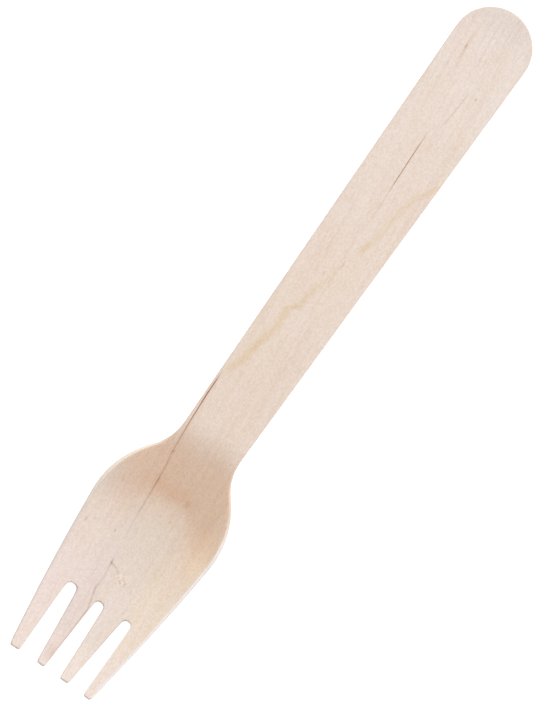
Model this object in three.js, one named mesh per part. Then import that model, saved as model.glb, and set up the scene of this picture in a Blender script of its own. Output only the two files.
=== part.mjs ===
// A disposable fork, stamped from one ply of birch veneer and pressed to shape between hot dies.
// Lengths are in millimetres. The fork is drawn flat, with x running from the end of the handle to the tips,
// y across it and z up through the wood, then pressed to its form and laid down as it rests on a table.

import * as THREE from 'three';
import { ParametricGeometry } from 'three/addons/geometries/ParametricGeometry.js';
import { mergeGeometries, mergeVertices } from 'three/addons/utils/BufferGeometryUtils.js';

// The veneer
const THICKNESS = 1.6;
const EDGE_ROUND = 0.25;

// The handle, from its round end to the place where the neck starts to flare
const HANDLE_LENGTH = 104.7;
const HANDLE_END_WIDTH = 16.65;
const NECK_WIDTH = 13.75;

// The head, from the start of the flare to the tips
const HEAD_LENGTH = 55.3;
const HEAD_WIDTH = 28.1;
const NECK_RADIUS = 10.2;
const SHOULDER_RADIUS = 19.3;
const SIDE_RADIUS = 450;
const TIP_WIDTH = 19.5;
const TIP_CORNER_RADIUS = 0.55;
const INNER_TIP_SETBACK = 0.15;

// The three slots between the tines, whose punches sat a little to one side of the centre line.
// The first punch, on the side towards -y, is wider than the other two.
const SLOT_LENGTH = 17.2;
const SLOT_ROOT_WIDTH = 2.12;
const SLOT_MOUTH_WIDTH = 3.68;
const FIRST_SLOT_EXTRA_WIDTH = 0.4;
const SLOT_ROOT_PITCH = 6.6;
const SLOT_MOUTH_PITCH = 5.75;
const SLOT_OFFSET = 0.35;

// The pressed form: a ramp down from the handle into a shallow dish, and tines that curve up again
const RAMP_ANGLE = THREE.MathUtils.degToRad(15);
const RAMP_LEAD = 4;
const RAMP_TOP_BEND = 7;
const RAMP_RUN = 8.5;
const RAMP_FOOT_BEND = 8.5;
const CREASE_SWEEP = 4;
const DISH_DEPTH = 1.9;
const TIP_DISH_DEPTH = 0.45;
const TINE_RADIUS = 195;

// How finely the curved faces are divided
const TINE_COUNT = 4;
const COLUMNS_PER_LANE = 4;
const HANDLE_END_STEPS = 8;
const HANDLE_STEPS = 6;
const HEAD_STEP = 1.5;
const SLOT_ROOT_STEPS = 5;
const TINE_STEPS = 9;
const TIP_CORNER_STEPS = 3;
const ROUND_STEPS = 2;
const WELD = 1e-4;

const FORK_LENGTH = HANDLE_LENGTH + HEAD_LENGTH;
const SLOT_ROOT_X = FORK_LENGTH - SLOT_LENGTH;

// A point on the outline, with the outward direction there once the whole outline is known
class EdgePoint {
  constructor(x, y) {
    this.at = new THREE.Vector2(x, y);
    this.outward = new THREE.Vector2();
  }

  drawnIn(distance) {
    return this.at.clone().addScaledVector(this.outward, -distance);
  }
}

// The outline of one side, as the tangent arcs and the line that make it up

function handleSide() {
  const endRadius = HANDLE_END_WIDTH / 2;
  const toNeck = new THREE.Vector2(HANDLE_LENGTH - endRadius, NECK_WIDTH / 2);
  const turn = toNeck.angle() + Math.acos(endRadius / toNeck.length());
  const arcEnd = endRadius * (1 + Math.cos(turn));
  const taper = Math.PI / 2 - turn;
  return { endRadius, turn, arcEnd, taper };
}

function headSide(taper) {
  const neckArc = new THREE.Vector2(
    HANDLE_LENGTH + NECK_RADIUS * Math.sin(-taper),
    NECK_WIDTH / 2 + NECK_RADIUS * Math.cos(taper),
  );
  const shoulderY = HEAD_WIDTH / 2 - SHOULDER_RADIUS;
  const flare = Math.acos((neckArc.y - shoulderY) / (NECK_RADIUS + SHOULDER_RADIUS));
  const flareEnd = neckArc.x + NECK_RADIUS * Math.sin(flare);
  const shoulder = new THREE.Vector2(flareEnd + SHOULDER_RADIUS * Math.sin(flare), shoulderY);
  const side = centreOfSideArc(shoulder);
  const toShoulder = shoulder.clone().sub(side);
  const sideStart = shoulder.x + (SHOULDER_RADIUS * toShoulder.x) / toShoulder.length();
  return { neckArc, flareEnd, shoulder, side, sideStart };
}

// The side arc touches the shoulder arc from outside and ends at the corner of the outermost tine
function centreOfSideArc(shoulder) {
  const corner = new THREE.Vector2(FORK_LENGTH, TIP_WIDTH / 2);
  const reach = shoulder.clone().sub(corner);
  const nearSide = SIDE_RADIUS - SHOULDER_RADIUS;
  const along = (SIDE_RADIUS ** 2 - nearSide ** 2 + reach.lengthSq()) / (2 * reach.length());
  const aside = Math.sqrt(SIDE_RADIUS ** 2 - along ** 2);
  const direction = reach.clone().normalize();
  const across = new THREE.Vector2(direction.y, -direction.x);
  if (across.y > 0) across.negate();
  return corner.clone().addScaledVector(direction, along).addScaledVector(across, aside);
}

const HANDLE_SIDE = handleSide();
const HEAD_SIDE = headSide(HANDLE_SIDE.taper);
const WIDEST_X = HEAD_SIDE.shoulder.x;

function arcHeight(centre, radius, x) {
  return centre.y + Math.sqrt(Math.max(radius ** 2 - (x - centre.x) ** 2, 0));
}

function halfWidth(x) {
  const { endRadius, arcEnd, taper } = HANDLE_SIDE;
  if (x < arcEnd) return Math.sqrt(Math.max(endRadius ** 2 - (x - endRadius) ** 2, 0));
  if (x < HEAD_SIDE.neckArc.x) return NECK_WIDTH / 2 + (HANDLE_LENGTH - x) * Math.tan(taper);
  if (x < HEAD_SIDE.flareEnd) {
    const { neckArc } = HEAD_SIDE;
    return 2 * neckArc.y - arcHeight(neckArc, NECK_RADIUS, x);
  }
  if (x < HEAD_SIDE.sideStart) return arcHeight(HEAD_SIDE.shoulder, SHOULDER_RADIUS, x);
  return arcHeight(HEAD_SIDE.side, SIDE_RADIUS, x);
}

// Where the outline is measured along the handle and the head, as far as the roots of the slots
function bodyStations() {
  const { endRadius, turn, arcEnd } = HANDLE_SIDE;
  const pressStart = HANDLE_LENGTH - RAMP_LEAD;
  const headSteps = Math.ceil((SLOT_ROOT_X - pressStart) / HEAD_STEP);
  const stations = [];
  for (let i = 0; i < HANDLE_END_STEPS; i++) {
    stations.push(endRadius * (1 - Math.cos(((Math.PI - turn) * i) / HANDLE_END_STEPS)));
  }
  for (let i = 0; i < HANDLE_STEPS; i++) {
    stations.push(THREE.MathUtils.lerp(arcEnd, pressStart, i / HANDLE_STEPS));
  }
  for (let i = 0; i <= headSteps; i++) {
    stations.push(THREE.MathUtils.lerp(pressStart, SLOT_ROOT_X, i / headSteps));
  }
  return stations;
}

// One slot: a round root and straight edges that spread towards the mouth
class Slot {
  constructor(place, extraWidth) {
    this.root = (SLOT_ROOT_WIDTH + extraWidth) / 2;
    this.mouth = (SLOT_MOUTH_WIDTH + extraWidth) / 2;
    this.rootCentre = new THREE.Vector2(SLOT_ROOT_X + this.root, SLOT_OFFSET + place * SLOT_ROOT_PITCH);
    this.mouthCentre = new THREE.Vector2(FORK_LENGTH, SLOT_OFFSET + place * SLOT_MOUTH_PITCH);
    this.apex = new EdgePoint(SLOT_ROOT_X, this.rootCentre.y);
  }

  // The edge of the slot on its side towards -y or +y
  edge(x, side) {
    const past = x - this.rootCentre.x;
    if (past < 0) {
      return this.rootCentre.y + side * Math.sqrt(Math.max(this.root ** 2 - past ** 2, 0));
    }
    const share = past / (this.mouthCentre.x - this.rootCentre.x);
    const half = THREE.MathUtils.lerp(this.root, this.mouth, share);
    return THREE.MathUtils.lerp(this.rootCentre.y, this.mouthCentre.y, share) + side * half;
  }
}

function tineStations(tip) {
  const root = SLOT_ROOT_WIDTH / 2;
  const cornerStart = tip - TIP_CORNER_RADIUS;
  const stations = [];
  for (let i = 1; i <= SLOT_ROOT_STEPS; i++) {
    stations.push(SLOT_ROOT_X + root * (1 - Math.cos((Math.PI * i) / (2 * SLOT_ROOT_STEPS))));
  }
  for (let i = 1; i <= TINE_STEPS; i++) {
    stations.push(THREE.MathUtils.lerp(SLOT_ROOT_X + root, cornerStart, i / TINE_STEPS));
  }
  for (let i = 1; i <= TIP_CORNER_STEPS; i++) {
    const angle = (Math.PI * i) / (2 * TIP_CORNER_STEPS);
    stations.push(cornerStart + TIP_CORNER_RADIUS * Math.sin(angle));
  }
  return stations;
}

// One tine: its two edges from the roots of its slots to its blunt tip with rounded corners
class Tine {
  constructor(lane, slots) {
    const outer = lane === 0 || lane === TINE_COUNT - 1;
    const tip = outer ? FORK_LENGTH : FORK_LENGTH - INNER_TIP_SETBACK;
    const stations = tineStations(tip);
    const edgeAt = (x, side) => {
      if (lane === 0 && side < 0) return -halfWidth(x);
      if (lane === TINE_COUNT - 1 && side > 0) return halfWidth(x);
      return side < 0 ? slots[lane - 1].edge(x, 1) : slots[lane].edge(x, -1);
    };
    const cut = (x) => {
      const into = Math.max(x - (tip - TIP_CORNER_RADIUS), 0);
      return TIP_CORNER_RADIUS - Math.sqrt(Math.max(TIP_CORNER_RADIUS ** 2 - into ** 2, 0));
    };
    this.low = stations.map((x) => new EdgePoint(x, edgeAt(x, -1) + cut(x)));
    this.high = stations.map((x) => new EdgePoint(x, edgeAt(x, 1) - cut(x)));
    this.tip = this.tipPoints();
  }

  tipPoints() {
    const low = this.low.at(-1);
    const high = this.high.at(-1);
    const points = [low];
    for (let column = 1; column < COLUMNS_PER_LANE; column++) {
      const place = low.at.clone().lerp(high.at, column / COLUMNS_PER_LANE);
      points.push(new EdgePoint(place.x, place.y));
    }
    points.push(high);
    return points;
  }
}

// The flat blank: the edge points of the body, the slots and the tines, joined into one loop
class Blank {
  constructor() {
    const stations = bodyStations();
    const end = new EdgePoint(0, 0);
    this.low = stations.map((x, i) => (i === 0 ? end : new EdgePoint(x, -halfWidth(x))));
    this.high = stations.map((x, i) => (i === 0 ? end : new EdgePoint(x, halfWidth(x))));
    this.slots = [];
    for (let i = 1; i < TINE_COUNT; i++) {
      const extraWidth = i === 1 ? FIRST_SLOT_EXTRA_WIDTH : 0;
      this.slots.push(new Slot(i - TINE_COUNT / 2, extraWidth));
    }
    this.tines = [];
    for (let lane = 0; lane < TINE_COUNT; lane++) this.tines.push(new Tine(lane, this.slots));
    this.loop = this.joinLoop();
    this.findOutward();
    this.bodyRows = stations.length - 1;
    this.rows = this.bodyRows + this.tines[0].low.length;
  }

  joinLoop() {
    const loop = [...this.low];
    this.tines.forEach((tine, lane) => {
      loop.push(...tine.low, ...tine.tip.slice(1, -1), ...tine.high.toReversed());
      if (lane < this.slots.length) loop.push(this.slots[lane].apex);
    });
    loop.push(...this.high.slice(1).reverse());
    return loop;
  }

  findOutward() {
    const count = this.loop.length;
    this.loop.forEach((point, i) => {
      const before = point.at.clone().sub(this.loop[(i + count - 1) % count].at).normalize();
      const after = this.loop[(i + 1) % count].at.clone().sub(point.at).normalize();
      const along = before.add(after).normalize();
      point.outward.set(along.y, -along.x);
    });
  }

  // The line between two lanes, which leads to the root of the slot that parts their tines
  laneLine(line, row, inset) {
    const low = this.low[row].drawnIn(inset);
    const high = this.high[row].drawnIn(inset);
    if (line === 0) return low;
    if (line === TINE_COUNT) return high;
    const apex = this.slots[line - 1].apex;
    if (row === this.bodyRows) return apex.drawnIn(inset);
    const share = apex.at.y / halfWidth(SLOT_ROOT_X);
    return low.lerp(high, (1 + share) / 2);
  }

  // A place on the blank by lane, row along it and column across the lane
  place(lane, row, column, inset) {
    const share = column / COLUMNS_PER_LANE;
    if (row === this.rows) return this.tines[lane].tip[column].drawnIn(inset);
    if (row > this.bodyRows) {
      const { low, high } = this.tines[lane];
      const step = row - this.bodyRows - 1;
      return low[step].drawnIn(inset).lerp(high[step].drawnIn(inset), share);
    }
    return this.laneLine(lane, row, inset).lerp(this.laneLine(lane + 1, row, inset), share);
  }
}

// The pressed form

// The integral of a smooth step from 0 to 1 between start and start + length
function easedRun(x, start, length) {
  const t = THREE.MathUtils.clamp((x - start) / length, 0, 1);
  return length * (t ** 3 - t ** 4 / 2) + Math.max(x - start - length, 0);
}

function rampDrop(x) {
  const foot = RAMP_TOP_BEND + RAMP_RUN;
  const run = easedRun(x, 0, RAMP_TOP_BEND) - easedRun(x, foot, RAMP_FOOT_BEND);
  return Math.tan(RAMP_ANGLE) * run;
}

// How strongly the section is dished at x: the height gained for each square of the distance from the middle
function dishing(x) {
  const full = DISH_DEPTH / (HEAD_WIDTH / 2) ** 2;
  const atTips = TIP_DISH_DEPTH / (TIP_WIDTH / 2) ** 2;
  const pressStart = HANDLE_LENGTH - RAMP_LEAD;
  if (x < WIDEST_X) return full * THREE.MathUtils.smoothstep(x, pressStart, WIDEST_X);
  return THREE.MathUtils.lerp(full, atTips, THREE.MathUtils.smoothstep(x, WIDEST_X, FORK_LENGTH));
}

function middleHeight(x, y) {
  const pressStart = HANDLE_LENGTH - RAMP_LEAD;
  const sweep = CREASE_SWEEP * (y / (HEAD_WIDTH / 2)) ** 2;
  const dishFloor = pressStart + RAMP_TOP_BEND + RAMP_RUN + RAMP_FOOT_BEND;
  const rise = Math.max(x - dishFloor, 0) ** 2 / (2 * TINE_RADIUS);
  return rise - rampDrop(x - sweep - pressStart) + dishing(x) * y ** 2;
}

// Carries a point of the flat blank to its pressed place, at right angles to the middle of the sheet
function pressed(x, y, height, target) {
  const probe = 0.01;
  const slopeX = (middleHeight(x + probe, y) - middleHeight(x - probe, y)) / (2 * probe);
  const slopeY = (middleHeight(x, y + probe) - middleHeight(x, y - probe)) / (2 * probe);
  const up = new THREE.Vector3(-slopeX, -slopeY, 1).normalize();
  return target.set(x, y, middleHeight(x, y)).addScaledVector(up, height);
}

// The solid

// The rounded edge from the lower face to the upper one, as insets and heights
function edgeProfile() {
  const flat = THICKNESS / 2 - EDGE_ROUND;
  const profile = [];
  for (let i = 0; i <= ROUND_STEPS; i++) {
    const angle = (Math.PI * i) / (2 * ROUND_STEPS);
    profile.push({
      inset: EDGE_ROUND * (1 - Math.sin(angle)),
      height: -flat - EDGE_ROUND * Math.cos(angle),
    });
  }
  const upper = profile.map(({ inset, height }) => ({ inset, height: -height })).reverse();
  return [...profile, ...upper];
}

function laneFace(blank, lane, side) {
  const alongRows = (share) => Math.round(share * blank.rows);
  const acrossColumns = (share) => Math.round(share * COLUMNS_PER_LANE);
  const point = (row, column, target) => {
    const { x, y } = blank.place(lane, row, column, EDGE_ROUND);
    pressed(x, y, (side * THICKNESS) / 2, target);
  };
  if (side > 0) {
    const upper = (u, v, target) => point(alongRows(u), acrossColumns(v), target);
    return new ParametricGeometry(upper, blank.rows, COLUMNS_PER_LANE);
  }
  const lower = (u, v, target) => point(alongRows(v), acrossColumns(u), target);
  return new ParametricGeometry(lower, COLUMNS_PER_LANE, blank.rows);
}

function rim(blank) {
  const profile = edgeProfile();
  const count = blank.loop.length;
  const bands = profile.length - 1;
  const ring = (u, v, target) => {
    const { inset, height } = profile[Math.round(v * bands)];
    const { x, y } = blank.loop[Math.round(u * count) % count].drawnIn(inset);
    pressed(x, y, height, target);
  };
  return new ParametricGeometry(ring, count, bands);
}

// Welds the faces of a body together and drops the triangles that came out without area
function welded(faces) {
  const whole = mergeGeometries(faces);
  whole.deleteAttribute('normal');
  whole.deleteAttribute('uv');
  const body = mergeVertices(whole, WELD);
  const kept = [];
  for (let i = 0; i < body.index.count; i += 3) {
    const [a, b, c] = body.index.array.subarray(i, i + 3);
    if (a !== b && b !== c && c !== a) kept.push(a, b, c);
  }
  body.setIndex(kept);
  return body;
}

function forkGeometry() {
  const blank = new Blank();
  const faces = [rim(blank)];
  for (let lane = 0; lane < TINE_COUNT; lane++) {
    faces.push(laneFace(blank, lane, 1), laneFace(blank, lane, -1));
  }
  const geometry = welded(faces);
  geometry.computeVertexNormals();
  return geometry;
}

// At rest the fork touches the table with the end of its handle and with the bottom of its dish
function restAngle(geometry) {
  const points = geometry.attributes.position;
  const heel = new THREE.Vector3(EDGE_ROUND, 0, -THICKNESS / 2);
  let lowest = Math.PI / 2;
  for (let i = 0; i < points.count; i++) {
    const along = points.getX(i) - heel.x;
    if (along > HANDLE_LENGTH) {
      lowest = Math.min(lowest, Math.atan2(points.getZ(i) - heel.z, along));
    }
  }
  return lowest;
}

const birch = new THREE.MeshStandardMaterial({ color: 0xe8d8ca, roughness: 0.8, metalness: 0 });

const fork = new THREE.Mesh(forkGeometry(), birch);
fork.name = 'fork';
fork.rotation.y = restAngle(fork.geometry);
fork.updateMatrixWorld();

const bounds = new THREE.Box3().setFromObject(fork, true);
const centre = bounds.getCenter(new THREE.Vector3());
fork.position.set(-centre.x, -centre.y, -bounds.min.z);

const wholeFork = new THREE.Group();
wholeFork.add(fork);

export default wholeFork;
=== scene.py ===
"""A disposable fork, stamped from one ply of birch veneer and pressed to shape, on a white table.

The fork is modelled as it is made: a flat blank is set out and slotted, gets its thickness and its rounded
edges, splits along two drying cracks, is pressed between the dies, and is laid down on the table.
On the blank, x runs from the end of the handle to the tips and y across the fork. Shapes are in metres, and
the veneer's figure and marks are in millimetres.
"""

import logging
import math
from dataclasses import dataclass, field
from enum import Enum

import bmesh
import bpy
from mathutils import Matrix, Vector

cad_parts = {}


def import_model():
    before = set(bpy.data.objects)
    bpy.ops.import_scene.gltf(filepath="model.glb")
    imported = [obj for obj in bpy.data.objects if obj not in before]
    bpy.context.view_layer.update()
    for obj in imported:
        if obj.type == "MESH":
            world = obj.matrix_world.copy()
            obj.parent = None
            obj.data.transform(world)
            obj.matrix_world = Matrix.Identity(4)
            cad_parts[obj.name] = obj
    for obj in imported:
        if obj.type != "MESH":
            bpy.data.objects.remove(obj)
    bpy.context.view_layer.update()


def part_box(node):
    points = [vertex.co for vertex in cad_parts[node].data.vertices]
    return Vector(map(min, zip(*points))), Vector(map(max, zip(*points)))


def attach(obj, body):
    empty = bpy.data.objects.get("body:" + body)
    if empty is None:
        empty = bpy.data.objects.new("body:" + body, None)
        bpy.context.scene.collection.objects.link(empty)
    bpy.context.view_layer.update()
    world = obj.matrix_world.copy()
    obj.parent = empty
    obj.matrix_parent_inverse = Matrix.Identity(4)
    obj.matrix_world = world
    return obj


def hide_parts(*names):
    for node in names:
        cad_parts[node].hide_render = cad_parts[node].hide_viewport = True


MM = 0.001
NODE = "fork"
BODY = "root"
BLANK_PLACE = "blank_place"
# Marks in the upper face come in between these heights over the sheet's middle, in millimetres
UPPER_FACE = (-0.1, 0.5)
WHITE = "FFFFFF"

Tree = bpy.types.NodeTree
Socket = bpy.types.NodeSocket
Pair = tuple[float, float]
Triple = tuple[float, float, float]
Limit = tuple[Socket, float, float] | Socket | float

log = logging.getLogger("fork")


class Side(Enum):
    """The two sides of a slot or a tine, as the sign of y."""

    LOW = -1
    HIGH = 1


def linear(hex_colour: str) -> tuple[float, float, float, float]:
    """Turns an sRGB colour into the linear one that a shader takes.

    Args:
        hex_colour: Six hex digits, such as "E8D8CA".

    Returns:
        Red, green, blue and an alpha of 1.
    """
    shares = [int(hex_colour[i : i + 2], 16) / 255 for i in (0, 2, 4)]
    red, green, blue = (s / 12.92 if s <= 0.04045 else ((s + 0.055) / 1.055) ** 2.4 for s in shares)
    return (red, green, blue, 1.0)


def ease(value: float, start: float, end: float) -> float:
    """Rises smoothly from 0 at start to 1 at end."""
    t = min(max((value - start) / (end - start), 0.0), 1.0)
    return t * t * (3 - 2 * t)


def mix(a: float, b: float, share: float) -> float:
    """Goes from a to b as share goes from 0 to 1."""
    return a + (b - a) * share


def eased_run(value: float, start: float, length: float) -> float:
    """Sums up a smooth step from 0 to 1 that lies between start and start + length."""
    t = min(max((value - start) / length, 0.0), 1.0)
    return length * (t**3 - t**4 / 2) + max(value - start - length, 0.0)


def arc_top(centre: Vector, radius: float, x: float) -> float:
    """Gives the height of an arc's upper half at x."""
    return centre.y + math.sqrt(max(radius**2 - (x - centre.x) ** 2, 0.0))


def deselect_all() -> None:
    """Leaves no object selected or active, so that an operator meets only what is picked next."""
    bpy.ops.object.select_all(action="DESELECT")
    bpy.context.view_layer.objects.active = None


def pick(piece: bpy.types.Object) -> None:
    """Makes one object the only one selected, and the active one.

    Args:
        piece: The object.
    """
    deselect_all()
    piece.select_set(True)
    bpy.context.view_layer.objects.active = piece


def select_row(piece: bpy.types.Object, x: float, low: float, high: float, near: float) -> None:
    """Selects the row of points at x, from low to high across, of the mesh in edit mode.

    Args:
        piece: The object that is in edit mode.
        x: The row's distance from the end of the handle.
        low: The row's end towards -y.
        high: The row's end towards +y.
        near: How far from these places a point may lie.
    """
    mesh = bmesh.from_edit_mesh(piece.data)
    for part in (*mesh.verts, *mesh.edges, *mesh.faces):
        part.select = False
    for vertex in mesh.verts:
        vertex.select = abs(vertex.co.x - x) < near and low - near < vertex.co.y < high + near
    mesh.select_flush(True)
    bmesh.update_edit_mesh(piece.data)


def apply_modifier(piece: bpy.types.Object, kind: str, **settings: object) -> None:
    """Adds a modifier with its settings and applies it.

    Args:
        piece: The object that is changed.
        kind: The modifier's type.
        settings: Its properties and their values.
    """
    pick(piece)
    modifier = piece.modifiers.new(kind.title(), kind)
    for name, value in settings.items():
        setattr(modifier, name, value)
    bpy.ops.object.modifier_apply(modifier=modifier.name)


def add_node(
    tree: Tree, kind: str, inputs: dict[str | int, object] | None = None, **settings: object
) -> bpy.types.Node:
    """Adds a node with its settings, its fixed inputs and its links.

    Args:
        tree: The node tree.
        kind: The node's type, without the leading "ShaderNode".
        inputs: By socket name or number, a value, or a socket of another node to link from.
        settings: The node's properties and their values.

    Returns:
        The new node.
    """
    node = tree.nodes.new("ShaderNode" + kind)
    for name, value in settings.items():
        setattr(node, name, value)
    for socket, value in (inputs or {}).items():
        if isinstance(value, Socket):
            tree.links.new(value, node.inputs[socket])
        else:
            node.inputs[socket].default_value = value
    return node


def overlap(tree: Tree, *limits: Limit) -> Socket:
    """Draws a mask that is full where every value has passed its limits.

    Args:
        tree: The node tree.
        limits: Each a socket with its values at shares 0 and 1, or a mask or a number that scales the rest.

    Returns:
        The mask, from 0 to 1.
    """
    whole = None
    for limit in limits:
        share = limit
        if isinstance(limit, tuple):
            value, start, end = limit
            edge = {0: value, 1: start, 2: end}
            share = add_node(tree, "MapRange", edge, interpolation_type="SMOOTHSTEP").outputs[0]
        if whole is None:
            whole = share
        else:
            whole = add_node(tree, "Math", {0: whole, 1: share}, operation="MULTIPLY").outputs[0]
    return whole


@dataclass
class Outline:
    """The flat outline, made of tangent arcs and straight lines, with three slots that leave four tines."""

    handle_length: float = 104.7 * MM
    handle_end_width: float = 16.65 * MM
    neck_width: float = 13.75 * MM
    head_length: float = 55.3 * MM
    head_width: float = 28.1 * MM
    neck_radius: float = 10.2 * MM
    shoulder_radius: float = 19.3 * MM
    side_radius: float = 450 * MM
    tip_width: float = 19.5 * MM
    tip_corner: float = 0.55 * MM
    inner_tip_setback: float = 0.15 * MM
    tine_count: int = 4
    slot_length: float = 17.2 * MM
    slot_root_width: float = 2.12 * MM
    slot_mouth_width: float = 3.68 * MM
    first_slot_extra_width: float = 0.4 * MM
    slot_root_pitch: float = 6.6 * MM
    slot_mouth_pitch: float = 5.75 * MM
    slot_offset: float = 0.35 * MM

    def __post_init__(self) -> None:
        """Works out where the arcs lie from the sizes."""
        self.length = self.handle_length + self.head_length
        self.root_x = self.length - self.slot_length
        self.end_radius = self.handle_end_width / 2
        reach = Vector((self.handle_length - self.end_radius, self.neck_width / 2))
        turn = math.atan2(reach.y, reach.x) + math.acos(self.end_radius / reach.length)
        self.taper = math.pi / 2 - turn
        self.arc_end = self.end_radius * (1 + math.cos(turn))
        self.neck_arc = Vector(
            (
                self.handle_length - self.neck_radius * math.sin(self.taper),
                self.neck_width / 2 + self.neck_radius * math.cos(self.taper),
            )
        )
        shoulder_y = self.head_width / 2 - self.shoulder_radius
        flare = math.acos((self.neck_arc.y - shoulder_y) / (self.neck_radius + self.shoulder_radius))
        self.flare_end = self.neck_arc.x + self.neck_radius * math.sin(flare)
        self.shoulder = Vector((self.flare_end + self.shoulder_radius * math.sin(flare), shoulder_y))
        self.side_arc = self.centre_of_side_arc()
        out = self.shoulder - self.side_arc
        self.side_start = self.shoulder.x + self.shoulder_radius * out.x / out.length

    def centre_of_side_arc(self) -> Vector:
        """Finds the arc that touches the shoulder's arc and ends at the corner of the outermost tine.

        Returns:
            The centre of that arc.
        """
        corner = Vector((self.length, self.tip_width / 2))
        reach = self.shoulder - corner
        near = self.side_radius - self.shoulder_radius
        along = (self.side_radius**2 - near**2 + reach.length_squared) / (2 * reach.length)
        aside = math.sqrt(self.side_radius**2 - along**2)
        direction = reach.normalized()
        across = Vector((direction.y, -direction.x))
        if across.y > 0:
            across.negate()
        return corner + direction * along + across * aside

    def half_width(self, x: float) -> float:
        """Gives half the width of the outline at x, slots left out.

        Args:
            x: The place along the fork.

        Returns:
            The distance from the middle to the side.
        """
        if x < self.arc_end:
            return math.sqrt(max(self.end_radius**2 - (x - self.end_radius) ** 2, 0.0))
        if x < self.neck_arc.x:
            return self.neck_width / 2 + (self.handle_length - x) * math.tan(self.taper)
        if x < self.flare_end:
            return 2 * self.neck_arc.y - arc_top(self.neck_arc, self.neck_radius, x)
        if x < self.side_start:
            return arc_top(self.shoulder, self.shoulder_radius, x)
        return arc_top(self.side_arc, self.side_radius, x)

    def slot_centres(self) -> list[float]:
        """Gives the places of the slots' roots across the fork, from -y to +y."""
        middle = self.tine_count / 2
        return [self.slot_offset + (i - middle) * self.slot_root_pitch for i in range(1, self.tine_count)]

    def slot_edge(self, slot: int, side: Side, x: float) -> float:
        """Gives the edge of a slot at x.

        Args:
            slot: The slot's number, from -y to +y.
            side: The slot's side.
            x: The place along the fork.

        Returns:
            The edge's place across the fork.
        """
        extra = self.first_slot_extra_width if slot == 0 else 0.0
        root = (self.slot_root_width + extra) / 2
        centre = self.slot_centres()[slot]
        past = x - (self.root_x + root)
        if past < 0:
            return centre + side.value * math.sqrt(max(root**2 - past**2, 0.0))
        share = past / (self.slot_length - root)
        mouth = self.slot_offset + (slot + 1 - self.tine_count / 2) * self.slot_mouth_pitch
        half = mix(root, (self.slot_mouth_width + extra) / 2, share)
        return mix(centre, mouth, share) + side.value * half

    def tine_tip(self, tine: int) -> float:
        """Gives the distance of a tine's tip from the end of the handle."""
        inner = 0 < tine < self.tine_count - 1
        return self.length - (self.inner_tip_setback if inner else 0.0)

    def tine_edges(self, tine: int, x: float) -> tuple[float, float]:
        """Gives a tine's two edges at x, its rounded corners included.

        Args:
            tine: The tine's number, from -y to +y.
            x: The place along the fork.

        Returns:
            The edge towards -y and the edge towards +y.
        """
        into = max(x - (self.tine_tip(tine) - self.tip_corner), 0.0)
        cut = self.tip_corner - math.sqrt(max(self.tip_corner**2 - into**2, 0.0))
        first = tine == 0
        last = tine == self.tine_count - 1
        low = -self.half_width(x) if first else self.slot_edge(tine - 1, Side.HIGH, x)
        high = self.half_width(x) if last else self.slot_edge(tine, Side.LOW, x)
        return low + cut, high - cut


@dataclass
class Dies:
    """The pressed form: a ramp down from the handle into a shallow dish, and tines that curve up again."""

    outline: Outline
    ramp_slope: float = math.tan(math.radians(15))
    ramp_lead: float = 4 * MM
    ramp_top_bend: float = 7 * MM
    ramp_run: float = 8.5 * MM
    ramp_foot_bend: float = 8.5 * MM
    crease_sweep: float = 4 * MM
    dish_depth: float = 1.9 * MM
    tip_dish_depth: float = 0.45 * MM
    tine_radius: float = 195 * MM
    probe: float = 0.01 * MM

    def __post_init__(self) -> None:
        """Works out where the form starts and where the floor of the dish begins."""
        self.start = self.outline.handle_length - self.ramp_lead
        self.floor = self.start + self.ramp_top_bend + self.ramp_run + self.ramp_foot_bend

    def dishing(self, x: float) -> float:
        """Gives the height gained for each square of the distance from the middle.

        Args:
            x: The place along the fork.

        Returns:
            The height over the square of the distance.
        """
        half = self.outline.head_width / 2
        full = self.dish_depth / half**2
        tips = self.tip_dish_depth / (self.outline.tip_width / 2) ** 2
        widest = self.outline.shoulder.x
        if x < widest:
            return full * ease(x, self.start, widest)
        return mix(full, tips, ease(x, widest, self.outline.length))

    def height(self, x: float, y: float) -> float:
        """Gives the height of the middle of the sheet above the handle's.

        Args:
            x: The place along the fork.
            y: The distance from the middle.

        Returns:
            The height.
        """
        sweep = self.crease_sweep * (y / (self.outline.head_width / 2)) ** 2
        along = x - sweep - self.start
        foot = self.ramp_top_bend + self.ramp_run
        run = eased_run(along, 0.0, self.ramp_top_bend) - eased_run(along, foot, self.ramp_foot_bend)
        rise = max(x - self.floor, 0.0) ** 2 / (2 * self.tine_radius)
        return rise - self.ramp_slope * run + self.dishing(x) * y * y

    def pressed(self, place: Vector) -> Vector:
        """Carries a point of the flat blank to its pressed place, at right angles to the sheet.

        Args:
            place: The point on the blank, with its height from the middle of the sheet.

        Returns:
            The point on the pressed fork.
        """
        x, y = place.x, place.y
        step = self.probe
        slope_x = (self.height(x + step, y) - self.height(x - step, y)) / (2 * step)
        slope_y = (self.height(x, y + step) - self.height(x, y - step)) / (2 * step)
        up = Vector((-slope_x, -slope_y, 1)).normalized()
        return Vector((x, y, self.height(x, y))) + up * place.z


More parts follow.
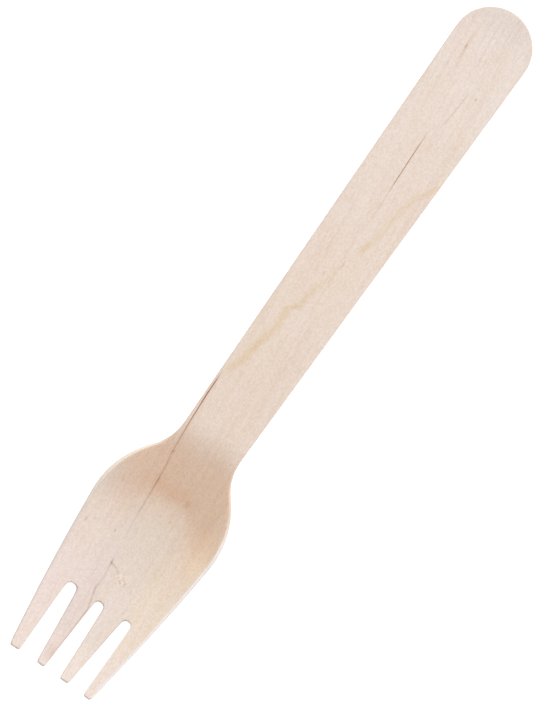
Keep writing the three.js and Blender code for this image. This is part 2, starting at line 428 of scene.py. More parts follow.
@dataclass(frozen=True)
class Course:
    """A course over the blank, in millimetres, such as the line of a crack or the foot of a stain.

    Each place is its distance along, its distance across, and a share from 0 to 1 that goes with it.
    """

    places: tuple[Triple, ...]

    def follow(self, tree: Tree, along: Socket, column: int) -> Socket:
        """Adds a curve that runs straight from each place to the next, in one of their numbers.

        Args:
            tree: The node tree.
            along: The distance along.
            column: Which of a place's numbers is followed, 1 or 2.

        Returns:
            That number at each distance along.
        """
        start, end = self.places[0][0], self.places[-1][0]
        values = [place[column] for place in self.places]
        low, high = min(values), max(values)
        share = add_node(tree, "MapRange", {0: along, 1: start, 2: end})
        curve = add_node(tree, "FloatCurve", {"Value": share.outputs[0]})
        points = curve.mapping.curves[0].points
        for _ in self.places[2:]:
            points.new(0.5, 0.5)
        for point, place, value in zip(points, self.places, values):
            point.location = ((place[0] - start) / (end - start), (value - low) / (high - low))
            point.handle_type = "VECTOR"
        curve.mapping.update()
        return add_node(tree, "MapRange", {0: curve.outputs[0], 3: low, 4: high}).outputs[0]


@dataclass(frozen=True)
class Line(Course):
    """A drawn line, with its width in millimetres and its strength at each place as the share."""

    width: float

    def mask(self, tree: Tree, along: Socket, across: Socket, spread: float = 1.0) -> Socket:
        """Draws the line, strongest at its middle and fading to its sides.

        Args:
            tree: The node tree.
            along: The distance along.
            across: The distance across.
            spread: How many times its own width it is drawn.

        Returns:
            The line's strength, from 0 to 1.
        """
        middle = self.follow(tree, along, 1)
        strength = self.follow(tree, along, 2)
        offset = add_node(tree, "Math", {0: across, 1: middle}, operation="SUBTRACT")
        distance = add_node(tree, "Math", {0: offset.outputs[0]}, operation="ABSOLUTE")
        return overlap(tree, (distance.outputs[0], self.width * spread / 2, 0.0), strength)


@dataclass(frozen=True)
class Crack:
    """A drying crack in the upper face, as a V groove along the grain.

    Its places on the blank are in millimetres, each with how far the crack gapes there, from 0 to 1. Its
    width and depth are those of a full opening.
    """

    name: str
    places: tuple[Triple, ...]
    width: float
    depth: float
    stain_width: float = 1.5
    stain_strength: float = 1.1

    def blade(self, top: float) -> bpy.types.Object:
        """Models the body that the crack takes away, as a triangle drawn from place to place.

        Args:
            top: The height of the upper face of the blank.

        Returns:
            The blade.
        """
        deselect_all()
        (x, y, gape), *onward = ((x * MM, y * MM, gape) for x, y, gape in self.places)
        clear = self.depth / 2
        height = self.depth + clear
        # An equilateral triangle is one and a half radii high
        radius = height / 1.5
        bpy.ops.mesh.primitive_circle_add(
            vertices=3,
            radius=radius,
            fill_type="NGON",
            location=(x, y, top + clear - radius / 2),
            rotation=(-math.pi / 2, 0, math.pi / 2),
        )
        blade = bpy.context.object
        blade.name = self.name
        bpy.ops.object.transform_apply(location=True, rotation=True, scale=True)
        bpy.ops.object.mode_set(mode="EDIT")
        bpy.ops.mesh.select_all(action="SELECT")
        narrow = self.width * height / self.depth / (radius * math.sqrt(3))
        bpy.ops.transform.resize(value=(1, narrow * gape, gape), center_override=(x, y, top + clear))
        for ahead, aside, opening in onward:
            bpy.ops.mesh.extrude_region_move(TRANSFORM_OT_translate={"value": (ahead - x, aside - y, 0)})
            ratio = opening / gape
            bpy.ops.transform.resize(value=(1, ratio, ratio), center_override=(ahead, aside, top + clear))
            x, y, gape = ahead, aside, opening
        bpy.ops.mesh.select_all(action="SELECT")
        bpy.ops.mesh.normals_make_consistent(inside=False)
        bpy.ops.object.mode_set(mode="OBJECT")
        return blade

    def stain(self) -> Line:
        """Marks the crack with dirt and tannin, a little wider than its opening.

        Returns:
            The line of the mark.
        """
        first, *between, last = self.places
        stained = ((x, y, min(gape * self.stain_strength, 1.0)) for x, y, gape in between)
        places = ((*first[:2], 0.0), *stained, (*last[:2], 0.0))
        return Line(places, self.width / MM * self.stain_width)


HANDLE_CRACK = Crack(
    name="handle_crack",
    places=(
        (28.4, -0.62, 0.08), (31.5, -0.52, 0.5), (34.2, -0.46, 0.76), (37.6, -0.32, 0.72),
        (41.4, -0.2, 0.66), (45.2, 0.0, 0.06),
    ),
    width=0.14 * MM,
    depth=0.25 * MM,
)

NECK_CRACK = Crack(
    name="neck_crack",
    places=(
        (91.0, -6.55, 0.1), (94.0, -6.45, 0.64), (96.9, -6.4, 0.7), (100.1, -6.22, 0.62),
        (103.2, -6.05, 0.52), (106.8, -5.78, 0.4), (110.2, -5.48, 0.32), (113.3, -4.9, 0.28),
        (115.9, -4.6, 0.4), (118.0, -4.4, 0.38), (119.8, -4.22, 0.06),
    ),
    width=0.26 * MM,
    depth=0.5 * MM,
)


@dataclass
class Fork:
    """The whole fork, from the flat blank to the finished piece.

    A lane is the part of the body that leads to one tine, and has its own columns of faces.
    """

    outline: Outline = field(default_factory=Outline)
    thickness: float = 1.6 * MM
    edge_round: float = 0.25 * MM
    edge_segments: int = 2
    sharp_edge: float = math.radians(60)
    smooth_edge: float = math.radians(40)
    cracks: tuple[Crack, ...] = (HANDLE_CRACK, NECK_CRACK)
    lane_columns: int = 4
    end_spread: float = math.radians(62)
    end_rows: int = 5
    handle_rows: int = 14
    head_row_length: float = 1.4 * MM
    root_rows: int = 4
    tine_rows: int = 9
    corner_rows: int = 3
    refinement: int = 2
    near: float = 0.01 * MM

    def __post_init__(self) -> None:
        """Sets the dies for this outline and the rows along the body of the blank."""
        self.dies = Dies(self.outline)
        self.rows = self.body_rows()

    def body_rows(self) -> list[float]:
        """Sets out the rows along the body, by where they meet the side, up to the slots' roots.

        Returns:
            Their places along the fork.
        """
        radius = self.outline.end_radius
        last_turn = math.pi / 2 - self.outline.taper
        turns = [mix(self.end_spread, last_turn, i / self.end_rows) for i in range(self.end_rows)]
        rows = [radius * (1 - math.cos(turn)) for turn in turns]
        start = self.dies.start
        rows += [mix(self.outline.arc_end, start, i / self.handle_rows) for i in range(self.handle_rows)]
        head_rows = math.ceil((self.outline.root_x - start) / self.head_row_length)
        rows += [mix(start, self.outline.root_x, i / head_rows) for i in range(head_rows + 1)]
        return rows

    def column_shares(self) -> list[float]:
        """Spreads the columns over the lanes that lead to the tines.

        Returns:
            Their places across the blank, from -1 at one side to 1 at the other.
        """
        half = self.outline.half_width(self.outline.root_x)
        lines = [-1.0, *(centre / half for centre in self.outline.slot_centres()), 1.0]
        shares = [
            mix(low, high, i / self.lane_columns)
            for low, high in zip(lines, lines[1:])
            for i in range(self.lane_columns)
        ]
        return [*shares, 1.0]

    def set_out_body(self) -> bpy.types.Object:
        """Adds a grid and sets it out as the handle and the head, up to the roots of the slots.

        Returns:
            The sheet, in object mode.
        """
        deselect_all()
        shares = self.column_shares()
        last_row = len(self.rows) - 1
        last_column = len(shares) - 1
        bpy.ops.mesh.primitive_grid_add(
            x_subdivisions=last_row, y_subdivisions=last_column, size=2, location=(0, 0, 0)
        )
        sheet = bpy.context.object
        sheet.name = "pressed_fork"
        radius = self.outline.end_radius
        for vertex in sheet.data.vertices:
            row = round((vertex.co.x + 1) / 2 * last_row)
            share = shares[round((vertex.co.y + 1) / 2 * last_column)]
            x = self.rows[row]
            bulge = radius * (1 - math.cos(self.end_spread)) * max(1 - row / self.end_rows, 0.0)
            if row == 0:
                turn = share * self.end_spread
                vertex.co = (radius * (1 - math.cos(turn)), radius * math.sin(turn), 0)
            else:
                vertex.co = (x - bulge * (1 - share**2), self.outline.half_width(x) * share, 0)
        return sheet

    def draw_out_tines(self, sheet: bpy.types.Object) -> None:
        """Draws each tine out of its lane, row by row, so that the slots open between them.

        Args:
            sheet: The body of the blank.
        """
        pick(sheet)
        bpy.ops.object.mode_set(mode="EDIT")
        bpy.ops.mesh.select_mode(type="VERT")
        half = self.outline.half_width(self.outline.root_x)
        lines = [-half, *self.outline.slot_centres(), half]
        for tine in range(self.outline.tine_count):
            x = self.outline.root_x
            low, high = lines[tine], lines[tine + 1]
            select_row(sheet, x, low, high, self.near)
            for row in self.tine_row_places(tine):
                new_low, new_high = self.outline.tine_edges(tine, row)
                centre = (new_low + new_high) / 2
                shift = centre - (low + high) / 2
                wider = (new_high - new_low) / (high - low)
                bpy.ops.mesh.extrude_region_move(TRANSFORM_OT_translate={"value": (row - x, shift, 0)})
                bpy.ops.transform.resize(value=(1, wider, 1), center_override=(row, centre, 0))
                x, low, high = row, new_low, new_high
        bpy.ops.object.mode_set(mode="OBJECT")

    def tine_row_places(self, tine: int) -> list[float]:
        """Sets out the rows along a tine, close together at the slot's round root and at the tip's corners.

        Args:
            tine: The tine's number.

        Returns:
            Their places along the fork.
        """
        root = self.outline.slot_root_width / 2
        corner = self.outline.tip_corner
        start = self.outline.root_x + root
        end = self.outline.tine_tip(tine) - corner
        root_turns = [math.pi / 2 * i / self.root_rows for i in range(1, self.root_rows + 1)]
        corner_turns = [math.pi / 2 * i / self.corner_rows for i in range(1, self.corner_rows + 1)]
        return [
            *(start - root * math.cos(turn) for turn in root_turns),
            *(mix(start, end, i / self.tine_rows) for i in range(1, self.tine_rows + 1)),
            *(end + corner * math.sin(turn) for turn in corner_turns),
        ]

    def thicken(self, blank: bpy.types.Object) -> None:
        """Gives the sheet its thickness, rounds its edges and refines it.

        Args:
            blank: The slotted sheet.
        """
        apply_modifier(blank, "SOLIDIFY", thickness=self.thickness, offset=0.0, use_even_offset=True)
        bpy.ops.object.mode_set(mode="EDIT")
        bpy.ops.mesh.select_mode(type="EDGE")
        bpy.ops.mesh.select_all(action="SELECT")
        bpy.ops.mesh.normals_make_consistent(inside=False)
        bpy.ops.mesh.select_all(action="DESELECT")
        bpy.ops.mesh.edges_select_sharp(sharpness=self.sharp_edge)
        bpy.ops.mesh.bevel(offset=self.edge_round, segments=self.edge_segments)
        bpy.ops.object.mode_set(mode="OBJECT")
        apply_modifier(blank, "SUBSURF", levels=self.refinement, render_levels=self.refinement)

    def split(self, blank: bpy.types.Object) -> None:
        """Opens the drying cracks in the upper face.

        Args:
            blank: The flat blank.
        """
        for crack in self.cracks:
            blade = crack.blade(self.thickness / 2)
            apply_modifier(blank, "BOOLEAN", object=blade, operation="DIFFERENCE", solver="EXACT")
            bpy.data.objects.remove(blade)

    def mark_places(self, blank: bpy.types.Object) -> None:
        """Keeps each point's place on the flat blank, in millimetres, for the veneer's figure to follow.

        Args:
            blank: The flat blank.
        """
        places = blank.data.attributes.new(BLANK_PLACE, "FLOAT_VECTOR", "POINT")
        for place, vertex in zip(places.data, blank.data.vertices):
            place.vector = vertex.co / MM

    def press(self, blank: bpy.types.Object) -> None:
        """Presses the flat blank between the dies."""
        for vertex in blank.data.vertices:
            vertex.co = self.dies.pressed(vertex.co)

    def lay_down(self, fork: bpy.types.Object) -> None:
        """Turns the fork to its rest, on the end of its handle and the bottom of its dish, in its place.

        Args:
            fork: The pressed fork.
        """
        heel = Vector((self.edge_round, 0, -self.thickness / 2))
        far = [v.co - heel for v in fork.data.vertices if v.co.x > self.outline.handle_length]
        lean = min(math.atan2(reach.z, reach.x) for reach in far)
        pick(fork)
        fork.rotation_euler = (0, lean, 0)
        bpy.ops.object.transform_apply(location=False, rotation=True, scale=False)
        low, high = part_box(NODE)
        along = [v.co.x for v in fork.data.vertices]
        bottom = min(v.co.z for v in fork.data.vertices)
        fork.location = (
            (low[0] + high[0]) / 2 - (min(along) + max(along)) / 2,
            (low[1] + high[1]) / 2,
            low[2] - bottom,
        )
        bpy.ops.object.transform_apply(location=True, rotation=False, scale=False)

    def build(self) -> bpy.types.Object:
        """Makes the fork from the flat blank to its finish.

        Returns:
            The finished piece.
        """
        fork = self.set_out_body()
        self.draw_out_tines(fork)
        self.thicken(fork)
        self.split(fork)
        self.mark_places(fork)
        self.press(fork)
        self.lay_down(fork)
        pick(fork)
        bpy.ops.object.shade_smooth_by_angle(angle=self.smooth_edge)
        fork.data.materials.clear()
        fork.data.materials.append(BirchVeneer(self.cracks).material())
        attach(fork, BODY)
        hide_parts(NODE)
        return fork


class Blend(Enum):
    """How a layer of colour lies on what is below it."""

    COVER = "MIX"
    TINT = "MULTIPLY"


@dataclass(frozen=True)
class Layer:
    """A colour, laid on where its mask lets it through."""

    mask: Socket
    colour: str
    blend: Blend = Blend.TINT


@dataclass(frozen=True)
class BlankPlace:
    """The nodes that read where a point lies on the flat blank, in millimetres, and the grain's slant."""

    tree: Tree
    slant: float
    place: Socket
    x: Socket
    y: Socket
    from_middle: Socket
    upper: Socket

    @classmethod
    def read(cls, tree: Tree, slant: float) -> "BlankPlace":
        """Adds the nodes.

        Args:
            tree: The node tree.
            slant: The angle from the fork's length to the grain.

        Returns:
            The place, its distances along, across and from the sheet's middle, and the upper face's mask.
        """
        place = add_node(tree, "Attribute", attribute_name=BLANK_PLACE).outputs["Vector"]
        x, y, z = add_node(tree, "SeparateXYZ", {0: place}).outputs
        from_middle = add_node(tree, "Math", {0: z}, operation="ABSOLUTE").outputs[0]
        return cls(tree, slant, place, x, y, from_middle, overlap(tree, (z, *UPPER_FACE)))


@dataclass(frozen=True)
class Patch:
    """A colour on one part of the blank, such as painted shade at the handle's end or a cut edge.

    Each pair holds the two distances, in millimetres, at which the colour's share is 0 and 1. They lie along
    the fork, across it, or from the middle of the sheet, which tells its cut edges from its faces.
    """

    colour: str
    along: tuple[Pair, ...] = ()
    across: tuple[Pair, ...] = ()
    from_middle: tuple[Pair, ...] = ()
    strength: float = 1.0
    blend: Blend = Blend.TINT

    def layer(self, blank: BlankPlace, *masks: Limit) -> Layer:
        """Lays the colour on its part of the blank.

        Args:
            blank: The nodes that read the place.
            masks: What else it is kept to.

        Returns:
            The layer.
        """
        axes = ((blank.from_middle, self.from_middle), (blank.x, self.along), (blank.y, self.across))
        limits = ((axis, *pair) for axis, pairs in axes for pair in pairs)
        return Layer(overlap(blank.tree, *limits, *masks, self.strength), self.colour, self.blend)


@dataclass(frozen=True)
class Figure:
    """A cloudy pattern in the wood, drawn in one colour.

    Its size is that of its marks along, across and through the sheet, in millimetres. Its shift keeps it
    apart from others of that size. Its reach holds the pattern's values at which the share is 0 and 1.
    """

    size: Triple
    shift: float
    reach: Pair
    colour: str
    blend: Blend = Blend.TINT
    detail: float = 3.0

    def lay(self, blank: BlankPlace) -> Socket:
        """Lays the pattern along the grain.

        Args:
            blank: The nodes that read the place.

        Returns:
            The pattern, from 0 to 1.
        """
        grain = {
            "Vector": blank.place,
            "Location": (self.shift, self.shift, self.shift),
            "Rotation": (0, 0, blank.slant),
            "Scale": self.size,
        }
        turned = add_node(blank.tree, "Mapping", grain, vector_type="TEXTURE")
        cloud = {"Vector": turned.outputs[0], "Scale": 1.0, "Detail": self.detail}
        return add_node(blank.tree, "TexNoise", cloud).outputs[0]

    def layer(self, blank: BlankPlace, *masks: Limit) -> Layer:
        """Draws the pattern in its colour, kept to the masks."""
        mask = overlap(blank.tree, (self.lay(blank), *self.reach), *masks)
        return Layer(mask, self.colour, self.blend)


@dataclass(frozen=True)
class Fleck:
    """A small mark in the upper face: its place, its length along the grain and its width, in mm."""

    x: float
    y: float
    length: float
    width: float
    strength: float = 1.0
    soft_rim: Pair = (1.0, 0.2)
    # So deep that a point's height in the sheet makes no difference
    depth: float = 1000.0

    def mask(self, blank: BlankPlace) -> Socket:
        """Draws the mark, strongest in its middle.

        Args:
            blank: The nodes that read the place.

        Returns:
            The mark's strength, from 0 to 1.
        """
        oval = {
            "Vector": blank.place,
            "Location": (self.x, self.y, 0),
            "Rotation": (0, 0, blank.slant),
            "Scale": (self.length / 2, self.width / 2, self.depth),
        }
        laid = add_node(blank.tree, "Mapping", oval, vector_type="TEXTURE")
        reach = add_node(blank.tree, "VectorMath", {0: laid.outputs[0]}, operation="LENGTH")
        return overlap(blank.tree, (reach.outputs["Value"], *self.soft_rim), self.strength)


RING_LINE = Line(
    places=(
        (34.0, 9.0, 0.0), (38.0, 7.3, 0.8), (41.6, 4.95, 0.7), (47.0, 3.9, 0.5), (53.0, 3.2, 0.6),
        (55.5, 2.4, 1.0), (57.5, 2.0, 0.15), (61.0, 0.9, 0.1), (64.5, 0.0, 0.3), (67.0, -0.7, 0.7),
        (71.5, -1.5, 0.8), (72.9, -1.8, 1.0), (73.5, -3.1, 0.9), (78.7, -2.9, 0.8), (82.8, -3.9, 1.0),
        (88.2, -4.7, 1.0), (90.2, -5.7, 0.9), (92.0, -6.3, 0.0),
    ),
    width=2.6,
)

# Before and after the handle's crack, and beside the end of the handle
FINE_SPLITS = (
    Line(((17.8, 1.65, 0.0), (20.0, 1.55, 0.8), (22.5, 1.4, 0.5), (24.5, 1.25, 0.7), (27.5, 1.0, 0.0)), 0.6),
    Line(((43.5, 0.0, 0.0), (46.0, 0.1, 0.6), (50.0, 0.1, 0.4), (54.0, 0.2, 0.0)), 0.7),
    Line(((6.8, -4.75, 0.0), (9.0, -4.5, 0.4), (12.0, -4.22, 0.5), (15.2, -3.95, 0.0)), 0.9),
)

CREEPING_CRACK = Line(
    places=(
        (118.0, -4.4, 0.0), (119.8, -4.25, 0.45), (122.5, -4.05, 0.42), (124.5, -3.9, 0.25),
        (128.8, -3.3, 0.06), (133.8, -2.9, 0.04), (135.1, -2.6, 0.8), (136.0, -2.5, 0.35),
        (138.3, -2.15, 0.2), (139.8, -2.25, 0.3), (141.3, -2.3, 0.7), (143.0, -1.8, 0.4),
        (145.3, -1.1, 0.6), (150.0, -1.2, 0.4), (156.5, -1.6, 0.3), (159.0, -1.75, 0.0),
    ),
    width=0.75,
)

# The thread of bark lies across the fork, so each place is its distance across and then along
BARK_THREAD = Line(
    places=(
        (-3.0, 135.1, 0.0), (-2.6, 135.2, 0.6), (-1.9, 135.4, 0.4), (-1.2, 135.5, 0.3),
        (-0.6, 136.1, 0.35), (-0.1, 135.7, 0.2), (0.5, 135.5, 0.0),
    ),
    width=0.8,
)

BARK_SPECKS = Fleck(137.0, 1.0, 4.2, 4.8)

# The foot of the stain and of its painted shade runs across the fork too, and its share is how blurred it is
FOOT_OF_STAIN_AND_PAINTED_SHADE = Course(
    places=(
        (-14.5, 113.5, 1.0), (-10.4, 119.4, 1.0), (-7.0, 120.0, 0.6), (-4.4, 118.8, 0.2),
        (0.0, 118.2, 0.0), (3.2, 118.0, 0.0), (5.0, 119.0, 0.1), (6.4, 121.0, 0.4), (9.0, 122.3, 0.8),
        (11.7, 122.2, 1.0), (14.5, 121.4, 1.0),
    ),
)

FLECKS = (
    Fleck(10.9, -4.28, 1.4, 0.42, 0.5),
    Fleck(18.6, 3.51, 0.9, 0.5, 0.5),
    Fleck(15.6, -5.3, 1.2, 0.4, 0.2),
    Fleck(60.6, 0.9, 2.2, 0.6, 0.2),
    Fleck(109.9, -5.4, 0.9, 0.6, 0.5),
    Fleck(116.4, -4.55, 2.4, 0.6, 0.2),
    Fleck(116.9, 3.3, 2.6, 1.6, 0.2),
    Fleck(120.2, -2.7, 1.6, 1.0, 0.12),
    Fleck(121.9, 2.38, 1.1, 0.5, 0.25),
    Fleck(129.6, -5.75, 1.2, 0.55, 0.35),
    Fleck(131.0, -11.9, 1.5, 0.5, 0.4),
    Fleck(130.0, -10.5, 1.3, 0.35, 0.2),
    Fleck(156.6, -2.3, 6.0, 2.8, 0.16),
)


@dataclass(frozen=True)
class BirchVeneer:
    """Bare rotary-cut birch, peeled from the log, stamped, and hot-pressed between smooth dies.

    Birch sapwood gives the eye a pale cream ground with a pink cast, faint streaks that run a little aslant
    of the fork, and no gloss. The hot dies leave a tan stain where they bent the sheet, drawn together with
    painted warm shade on the ramp, and a ring of the log shows as one yellowish line along the handle.
    Painted shade darkens the end of the handle, the floor of the dish and the cut edge along the ramp,
    painted light lifts the dish's +y wall, and painted highlights lie on the rim.
    """

    cracks: tuple[Crack, ...]
    grain_slant: float = math.radians(5)

    # Sapwood, paler and pinker towards the tips, with painted shade that darkens the end of the handle
    # and the floor of the dish
    ground: str = "EADACE"
    handle_end: Patch = Patch("E8DBD3", along=((75, 5),), blend=Blend.COVER)
    head_ground: Patch = Patch("F1E3DB", along=((122, 141),), blend=Blend.COVER)
    # Painted shade: darker at the end of the handle, and on the floor of the dish and the middle of the
    # tines
    painted_end_shade: Patch = Patch("F7F8F8", along=((9, 2),))
    painted_dish_floor_shade: Patch = Patch("F9FAFA", along=((120, 124), (156, 150)), across=((-9, -4), (9, 4)))
    pink_side: Patch = Patch("FDFBFD", along=((130, 138),), across=((1, -3),))
    # Tan on the dish's +y wall, with painted light that lifts the shade the lamp leaves there
    tan_rim_and_painted_light: Patch = Patch(
        "F5DEC6", along=((116, 121), (134, 123)), across=((8, 12),), strength=0.7, blend=Blend.COVER
    )

    warm_clouds: Figure = Figure((16.0, 5.0, 3.0), 7.0, (0.35, 0.7), "FEFDF9")
    pink_clouds: Figure = Figure((16.0, 5.0, 3.0), 31.0, (0.35, 0.7), "FEFCFC")
    streaks: Figure = Figure((34.0, 0.7, 0.9), 13.0, (0.4, 0.75), "FCF9F6")
    scored_lines: Figure = Figure((12.0, 0.5, 0.5), 23.0, (0.5, 0.7), "F8F6F4")
    scored_end: Pair = (26.0, 10.0)
    # Vessels of birch are under 0.1 mm wide, so they are drawn three times as wide to show at all
    vessels: Figure = Figure((2.2, 0.28, 0.3), 3.0, (0.6, 0.75), "F7F0E9")
    # Bundles of fibres are finer than a pixel too, and are drawn as coarse as one needs to be
    fibres: Figure = Figure((0.4, 0.33, 0.4), 17.0, (0.35, 0.65), "F6F3F0")

    # The punch leaves a pale cut edge, with painted shade on it along the ramp where the sheet bends
    cut_edge: Patch = Patch(
        "F8F0E8", along=((158.6, 157.8),), from_middle=((0.78, 0.6),), strength=0.8, blend=Blend.COVER
    )
    # Painted shade on the cut edge along the ramp
    painted_ramp_edge_shade: Patch = Patch("EEECE8", along=((102, 107), (119, 114)), from_middle=((0.78, 0.6),))
    end_grain: Patch = Patch(
        "FBEFE5", along=((158.6, 159.4),), from_middle=((0.79, 0.7),), strength=0.8, blend=Blend.COVER
    )
    # The rounded rim catches the light as a thin pale line
    painted_rim_highlight: Patch = Patch(
        "FBF3EE", along=((116, 122),), across=((5, 8),), from_middle=((0.799, 0.75),), blend=Blend.COVER
    )
    # A painted highlight in cream on the rim of the -y side
    painted_cream_rim_highlight: Patch = Patch(
        "FCEFDE",
        along=((104, 112), (130, 121)),
        across=((-7, -9),),
        from_middle=((0.799, 0.72),),
        strength=0.7,
        blend=Blend.COVER,
    )

    # The tan stain of the hot dies lies on the ramp, together with painted warm shade where the ramp faces
    # away from the lamp. It ends at a foot line, sharp in the middle and blurred at the sides
    stain: Patch = Patch("FDEEDF", along=((101, 112),), strength=0.5)
    stain_and_painted_shade_haze: Patch = Patch("FDEEDF", along=((101, 112),), across=((16, 7), (-18, -8)), strength=0.55)
    # A band of tan and painted shade just before the foot, in the middle
    press_mark_and_painted_shade: Patch = Patch("FEF8F5", across=((6, 2), (-6.5, -3.5)))
    # Tan and painted warm shade on the +y wall of the dish
    warm_side_tan_and_painted_shade: Patch = Patch("FFFDF5", along=((118, 134), (156, 144)), across=((1, 9), (15.5, 12.5)))
    # The foot's blur at a share of 0 and of 1, in millimetres, and the fade of the foot in such blurs
    foot_blur: Pair = (1.0, 5.0)
    foot_fade: Pair = (1.3, -1.3)
    # In millimetres past the foot
    haze_fade: Pair = (10.0, -1.5)
    mark_start: Pair = (-5.0, -1.5)

    # Late wood in the ring line, tannin in the splits and cracks, and brown bark
    ring: str = "F8F2DF"
    split_brown: str = "F0DFC8"
    crack_brown: str = "B5896A"
    crack_halo: str = "FBEEE2"
    halo_spread: float = 4.0
    thread_brown: str = "D5C2B8"
    fleck_brown: str = "B8926F"
    pale_specks: Figure = Figure((0.5, 0.4, 0.4), 41.0, (0.5, 0.62), "FBEBDA", Blend.COVER)
    dark_specks: Figure = Figure((0.5, 0.4, 0.4), 41.0, (0.48, 0.36), "D5C2B8")
    pale_speck_strength: float = 0.55
    dark_speck_strength: float = 0.5

    # Roughness where the smooth dies burnished the veneer, and where a trace of open fibres is left
    burnished: float = 0.62
    open_grain: float = 0.74
    burnish_reach: Pair = (0.3, 0.7)
    relief: float = 0.6
    fibre_height: float = 0.03 * MM
    ior: float = 1.5

    def ground_layers(self, blank: BlankPlace) -> list[Layer]:
        """Lays the ground colours, with their painted shade and painted light, and the figure of the veneer.

        Args:
            blank: The nodes that read the place.

        Returns:
            The layers, from the lowest up.
        """
        return [
            self.handle_end.layer(blank),
            self.head_ground.layer(blank),
            self.painted_end_shade.layer(blank),
            self.painted_dish_floor_shade.layer(blank),
            self.pink_side.layer(blank),
            self.tan_rim_and_painted_light.layer(blank),
            self.warm_clouds.layer(blank),
            self.pink_clouds.layer(blank),
            self.streaks.layer(blank),
            self.scored_lines.layer(blank, (blank.x, *self.scored_end)),
            self.fibres.layer(blank),
            self.vessels.layer(blank),
        ]

    def stain_layers(self, blank: BlankPlace) -> list[Layer]:
        """Lays the tan stain of the hot dies, with painted warm shade, on the ramp, sharp at its foot and
        faded round the sides.

        Args:
            blank: The nodes that read the place.

        Returns:
            The layers.
        """
        tree = blank.tree
        foot = FOOT_OF_STAIN_AND_PAINTED_SHADE.follow(tree, blank.y, 1)
        past = add_node(tree, "Math", {0: blank.x, 1: foot}, operation="SUBTRACT").outputs[0]
        share = FOOT_OF_STAIN_AND_PAINTED_SHADE.follow(tree, blank.y, 2)
        sharp, soft = self.foot_blur
        blur = add_node(tree, "MapRange", {0: share, 3: sharp, 4: soft}).outputs[0]
        blurred = add_node(tree, "Math", {0: past, 1: blur}, operation="DIVIDE").outputs[0]
        return [
            self.stain.layer(blank, (blurred, *self.foot_fade)),
            self.stain_and_painted_shade_haze.layer(blank, (past, *self.haze_fade)),
            self.press_mark_and_painted_shade.layer(blank, (past, *self.mark_start), (blurred, *self.foot_fade)),
            self.warm_side_tan_and_painted_shade.layer(blank),
        ]

    def mark_layers(self, blank: BlankPlace) -> list[Layer]:
        """Draws the ring line, splits, stained cracks, thread and specks of bark, and pith flecks.

        Args:
            blank: The nodes that read the place.

        Returns:
            The layers.
        """
        tree, x, y, upper = blank.tree, blank.x, blank.y, blank.upper
        stains = [crack.stain() for crack in self.cracks]
        marks = [
            *((line.mask(tree, x, y), self.split_brown) for line in FINE_SPLITS),
            (CREEPING_CRACK.mask(tree, x, y), self.thread_brown),
            (BARK_THREAD.mask(tree, y, x), self.thread_brown),
            *((line.mask(tree, x, y, self.halo_spread), self.crack_halo) for line in stains),
            *((line.mask(tree, x, y), self.crack_brown) for line in stains),
            *((fleck.mask(blank), self.fleck_brown) for fleck in FLECKS),
        ]
        patch = BARK_SPECKS.mask(blank)
        return [
            Layer(RING_LINE.mask(tree, x, y), self.ring),
            *(Layer(overlap(tree, mask, upper), colour) for mask, colour in marks),
            self.pale_specks.layer(blank, patch, upper, self.pale_speck_strength),
            self.dark_specks.layer(blank, patch, upper, self.dark_speck_strength),
        ]

    def material(self) -> bpy.types.Material:
        """Builds the node tree.

        Returns:
            The material.
        """
        material = bpy.data.materials.new("rotary_cut_birch_veneer")
        material.use_nodes = True
        tree = material.node_tree
        tree.nodes.clear()
        blank = BlankPlace.read(tree, self.grain_slant)
        layers = [
            *self.ground_layers(blank),
            *(edge.layer(blank) for edge in (self.cut_edge, self.painted_ramp_edge_shade, self.end_grain)),
            *self.stain_layers(blank),
            *(rim.layer(blank) for rim in (self.painted_rim_highlight, self.painted_cream_rim_highlight)),
            *self.mark_layers(blank),
        ]
        colour = linear(self.ground)
        for layer in layers:
            laid = {0: layer.mask, 6: colour, 7: linear(layer.colour)}
            mixed = add_node(tree, "Mix", laid, data_type="RGBA", blend_type=layer.blend.value)
            colour = mixed.outputs[2]
        low, high = self.burnish_reach
        polish = {0: self.streaks.lay(blank), 1: low, 2: high, 3: self.burnished, 4: self.open_grain}
        roughness = add_node(tree, "MapRange", polish).outputs[0]
        fibres = {"Strength": self.relief, "Distance": self.fibre_height, "Height": self.fibres.lay(blank)}
        normal = add_node(tree, "Bump", fibres).outputs[0]
        wood = {"Base Color": colour, "Roughness": roughness, "IOR": self.ior, "Normal": normal}
        shader = add_node(tree, "BsdfPrincipled", wood)
        add_node(tree, "OutputMaterial", {"Surface": shader.outputs["BSDF"]})
        return material


@dataclass(frozen=True)
class MattLaminate:
    """Melamine laminate, pressed matt, which gives the eye an even white that still takes a shadow."""

    white: str = "FAFAFA"
    lift: float = 0.75

    def material(self) -> bpy.types.Material:
        """Builds the node tree, with a lift of the white where it is seen.

        Returns:
            The material.
        """
        material = bpy.data.materials.new("matt_white_laminate")
        material.use_nodes = True
        tree = material.node_tree
        tree.nodes.clear()
        surface = add_node(tree, "BsdfDiffuse", {"Color": linear(self.white)})
        rays = add_node(tree, "LightPath").outputs
        seen = rays["Is Camera Ray"]
        for ray in ("Is Glossy Ray", "Is Transmission Ray"):
            seen = add_node(tree, "Math", {0: seen, 1: rays[ray]}, operation="ADD").outputs[0]
        lift = add_node(tree, "Math", {0: seen, 1: self.lift}, operation="MULTIPLY")
        glow = add_node(tree, "Emission", {"Color": linear(WHITE), "Strength": lift.outputs[0]})
        both = add_node(tree, "AddShader", {0: surface.outputs[0], 1: glow.outputs[0]})
        add_node(tree, "OutputMaterial", {"Surface": both.outputs[0]})
        return material


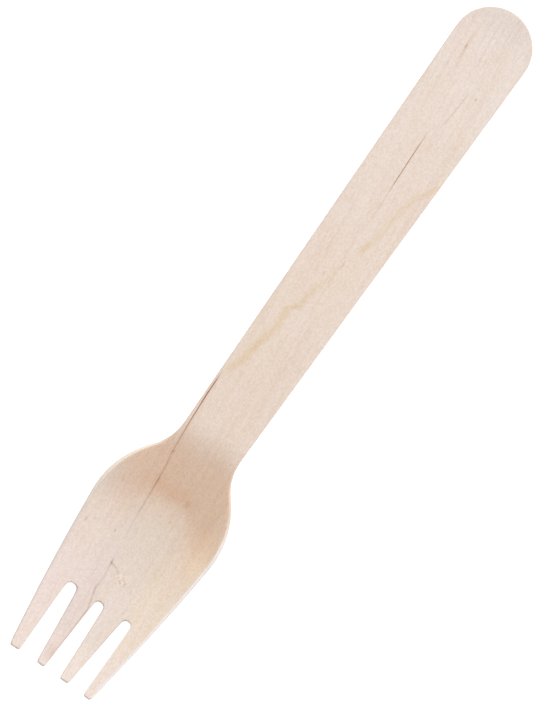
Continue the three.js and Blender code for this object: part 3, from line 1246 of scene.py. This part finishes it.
@dataclass
class Studio:
    """The white table, the soft light and the camera over the fork."""

    photo_height: int = 707
    pixels_per_metre: float = 5035
    fork_turn: float = math.radians(35.27)
    view_centre: Pair = (2.93 * MM, -0.5 * MM)
    camera_height: float = 2.4
    sensor: float = 36.0
    table_size: float = 3.0
    key_power: float = 14.8
    key_size: float = 1.2
    key_place: Triple = (-0.8, 0.1, 0.9)
    fill_strength: float = 0.43

    def lay_table(self) -> None:
        """Lays a white table under the fork."""
        deselect_all()
        bpy.ops.mesh.primitive_plane_add(size=self.table_size, location=(0, 0, 0))
        table = bpy.context.object
        table.name = "table"
        table.data.materials.append(MattLaminate().material())

    def hang_lights(self) -> None:
        """Hangs one large soft lamp beyond the end of the handle, and fills in from all round."""
        deselect_all()
        bpy.ops.object.light_add(type="AREA", location=self.key_place)
        lamp = bpy.context.object
        lamp.name = "key_lamp"
        lamp.data.shape = "SQUARE"
        lamp.data.size = self.key_size
        lamp.data.energy = self.key_power
        lamp.rotation_euler = Vector(self.key_place).to_track_quat("Z", "Y").to_euler()
        world = bpy.data.worlds.new("white_room")
        world.use_nodes = True
        tree = world.node_tree
        tree.nodes.clear()
        room = add_node(tree, "Background", {"Color": linear(WHITE), "Strength": self.fill_strength})
        add_node(tree, "OutputWorld", {"Surface": room.outputs[0]})
        bpy.context.scene.world = world

    def set_camera(self) -> None:
        """Sets the camera straight above the fork, turned so that the fork lies as in the photo."""
        deselect_all()
        x, y = self.view_centre
        bpy.ops.object.camera_add(location=(x, y, self.camera_height))
        camera = bpy.context.object
        camera.name = "camera"
        view_height = self.photo_height / self.pixels_per_metre
        camera.data.sensor_width = self.sensor
        camera.data.lens = self.sensor * self.camera_height / view_height
        camera.rotation_euler = (0, 0, math.pi / 2 + self.fork_turn)
        bpy.context.scene.camera = camera
        bpy.context.scene.view_settings.view_transform = "Standard"

    def build(self) -> None:
        """Sets up the table, the lights and the camera."""
        self.lay_table()
        self.hang_lights()
        self.set_camera()


def main() -> None:
    logging.basicConfig(level=logging.INFO, format="%(name)s: %(message)s")
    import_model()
    fork = Fork().build()
    log.info("%s has %d faces", fork.name, len(fork.data.polygons))
    Studio().build()
    log.info("the table, the lamp and the camera are set")


if __name__ == "__main__":
    main()
